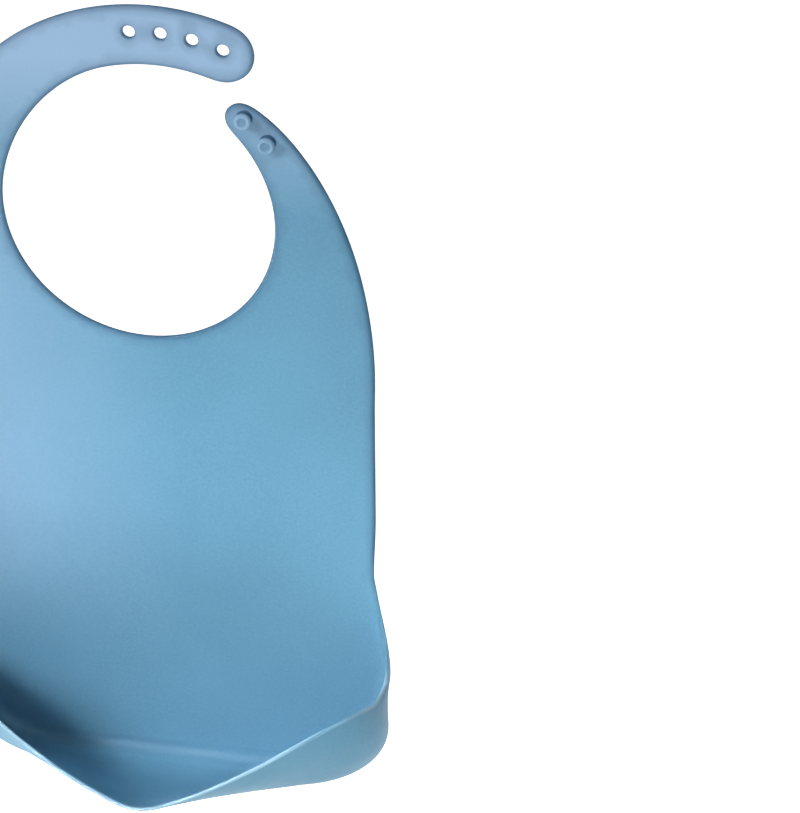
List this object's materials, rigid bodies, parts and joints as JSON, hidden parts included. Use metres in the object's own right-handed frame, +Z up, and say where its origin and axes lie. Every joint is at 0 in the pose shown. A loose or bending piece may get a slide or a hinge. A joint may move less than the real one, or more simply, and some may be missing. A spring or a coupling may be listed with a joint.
{
  "type": "silicone bib",
  "caption": "Soft moulded baby bib with a round neck opening, a punched strap and a studded strap, and an open scoop pocket that catches food.",
  "frame": {"origin": "centre of the neck opening, in the plane of the flat panel's back", "axes": "+Z up from the pocket to the neck, -Y out of the front and the pocket, +X to the viewer's right seen from the front"},
  "size_m": [0.1782, 0.0685, 0.3363],
  "materials": {
    "silicone": "satin moulded silicone, dusty blue"
  },
  "bodies": {
    "chest": {"chest_panel": "silicone"},
    "lower": {"lower_panel": "silicone", "pocket_floor": "silicone", "left_gusset": "silicone", "right_gusset": "silicone"},
    "pocket_front": {"pocket_wall": "silicone", "pocket_rim": "silicone"},
    "hole_strap": {"hole_strap": "silicone"},
    "hole_strap_end": {"hole_strap_end": "silicone"},
    "stud_strap": {"stud_strap": "silicone", "upper_stud": "silicone", "lower_stud": "silicone"}
  },
  "joints": [
    {"name": "panel_fold", "type": "hinge", "parent": "chest", "child": "lower", "pos_m": [0, -0.0022, -0.106], "axis": [-1, 0, 0], "range_deg": [-45, 135], "stiffness_Nm_per_rad": 0.3},
    {"name": "pocket_open", "type": "hinge", "parent": "lower", "child": "pocket_front", "pos_m": [0, -0.014, -0.2585], "axis": [1, 0, 0], "range_deg": [-30, 15], "stiffness_Nm_per_rad": 0.3},
    {"name": "hole_strap_fold", "type": "hinge", "parent": "chest", "child": "hole_strap", "pos_m": [-0.06, 0, 0.008], "axis": [-1, 0, 0], "range_deg": [-45, 100], "stiffness_Nm_per_rad": 0.05},
    {"name": "hole_strap_curl", "type": "hinge", "parent": "hole_strap", "child": "hole_strap_end", "pos_m": [-0.006, 0, 0.0625], "axis": [0, 0, 1], "range_deg": [-40, 90], "stiffness_Nm_per_rad": 0.02},
    {"name": "stud_strap_fold", "type": "hinge", "parent": "chest", "child": "stud_strap", "pos_m": [0.056, 0, 0.008], "axis": [-1, 0, 0], "range_deg": [-45, 100], "stiffness_Nm_per_rad": 0.04}
  ]
}
